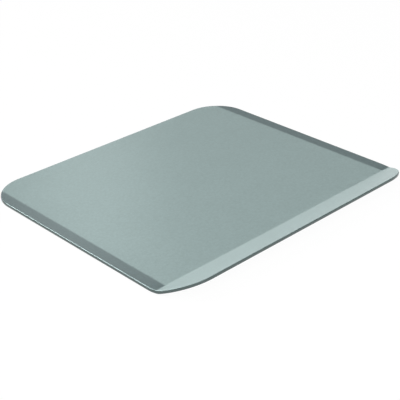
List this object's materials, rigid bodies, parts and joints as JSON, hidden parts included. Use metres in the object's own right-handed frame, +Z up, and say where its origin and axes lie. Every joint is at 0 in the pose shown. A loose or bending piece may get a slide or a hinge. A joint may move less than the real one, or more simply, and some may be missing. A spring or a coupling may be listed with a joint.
{
  "type": "cookie sheet",
  "caption": "Flat insulated cookie sheet of coated steel, with narrow side flanges, a wide sloping grip flange at the front, an open back edge and a hemmed rim.",
  "frame": {"origin": "centre of the footprint, on the surface that the sheet rests on", "axes": "+X along the long side, -Y towards the grip flange, +Y towards the open edge, +Z up"},
  "size_m": [0.4064, 0.3556, 0.019],
  "materials": {
    "baking_coat": "satin",
    "underside_coat": "satin"
  },
  "bodies": {
    "root": {"top_sheet": "baking_coat", "bottom_sheet": "underside_coat"}
  },
  "joints": []
}
